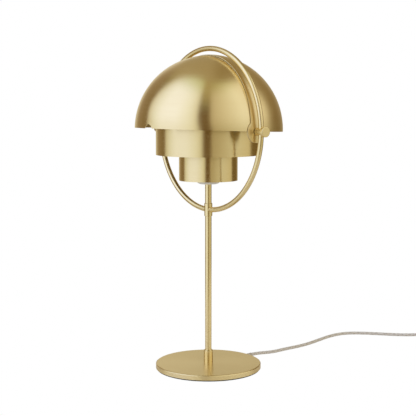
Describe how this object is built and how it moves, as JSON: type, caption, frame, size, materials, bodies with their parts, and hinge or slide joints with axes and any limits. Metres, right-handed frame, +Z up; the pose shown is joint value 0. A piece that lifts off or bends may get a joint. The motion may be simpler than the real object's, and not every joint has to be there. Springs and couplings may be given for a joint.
{
  "type": "ball table lamp",
  "caption": "Brass table lamp: round base, slim stem and a hoop whose quarter-ball shades turn about a cross pivot around stepped drums; textile cord with switch and plug.",
  "frame": {"origin": "centre of the base's underside, on the table", "axes": "+Z up along the stem; +X along the shades' pivot axis, to the right seen from the front; +Y to the back, where the cord leaves"},
  "size_m": [0.3553, 0.6508, 0.5],
  "materials": {
    "satin_brass": "fine horizontal brushing under clear lacquer",
    "felt": "pressed felt",
    "zinc_steel": "zinc-plated steel",
    "nylon": "dark brown nylon",
    "holder_white": "white moulded plastic",
    "ceramic": "glazed ceramic",
    "nickel": "nickel-plated brass",
    "opal_glass": "opal glass",
    "bulb_metal": "thin rolled aluminium",
    "lead_insulation": "soft lead insulation",
    "gland_plastic": "soft moulded plastic",
    "cord_textile": "braided textile sleeve",
    "tie_strap": "woven strap",
    "switch_plastic": "moulded plastic",
    "plug_plastic": "moulded plastic"
  },
  "bodies": {
    "stand": {"base_pad": "felt", "base_plate": "satin_brass", "bulb_cap": "bulb_metal", "bulb_contact": "bulb_metal", "bulb_globe": "opal_glass", "cord_coil": "cord_textile", "cord_gland": "gland_plastic", "cord_run": "cord_textile", "cord_tail": "cord_textile", "cord_tie": "tie_strap", "foot_collar": "satin_brass", "holder_body": "holder_white", "holder_cap": "holder_white", "holder_contact": "nickel", "holder_insert": "ceramic", "holder_thread": "nickel", "hoop_cross": "satin_brass", "hoop_ring": "satin_brass", "inner_leads": "lead_insulation", "inner_washers": "zinc_steel", "lower_drum": "satin_brass", "lower_spider": "zinc_steel", "middle_drum": "satin_brass", "outer_washers": "nylon", "pivot_axle_left": "zinc_steel", "pivot_axle_right": "zinc_steel", "pivot_bush_left": "satin_brass", "pivot_bush_right": "satin_brass", "pivot_knob_left": "satin_brass", "pivot_knob_right": "satin_brass", "pivot_nuts": "zinc_steel", "plug_body": "plug_plastic", "plug_pins": "nickel", "plug_relief": "plug_plastic", "shade_ring_lower": "holder_white", "shade_ring_upper": "holder_white", "stem_tube": "satin_brass", "switch_base": "switch_plastic", "switch_cover": "switch_plastic", "switch_screws": "zinc_steel", "upper_drum": "satin_brass", "upper_spider": "zinc_steel"},
    "front_shade": {"front_shade": "satin_brass"},
    "rear_shade": {"rear_shade": "satin_brass"},
    "switch_rocker": {"switch_rocker": "switch_plastic"}
  },
  "joints": [
    {"name": "front_shade_turn", "type": "hinge", "parent": "stand", "child": "front_shade", "pos_m": [0, 0, 0.373], "axis": [1, 0, 0], "range_deg": [-88, 91]},
    {"name": "rear_shade_turn", "type": "hinge", "parent": "stand", "child": "rear_shade", "pos_m": [0, 0, 0.373], "axis": [-1, 0, 0], "range_deg": [-92, 87]},
    {"name": "switch_tip", "type": "hinge", "parent": "stand", "child": "switch_rocker", "pos_m": [0.10185, 0.46285, 0.0124], "axis": [0.788, -0.6157, 0], "range_deg": [0, 14]}
  ]
}
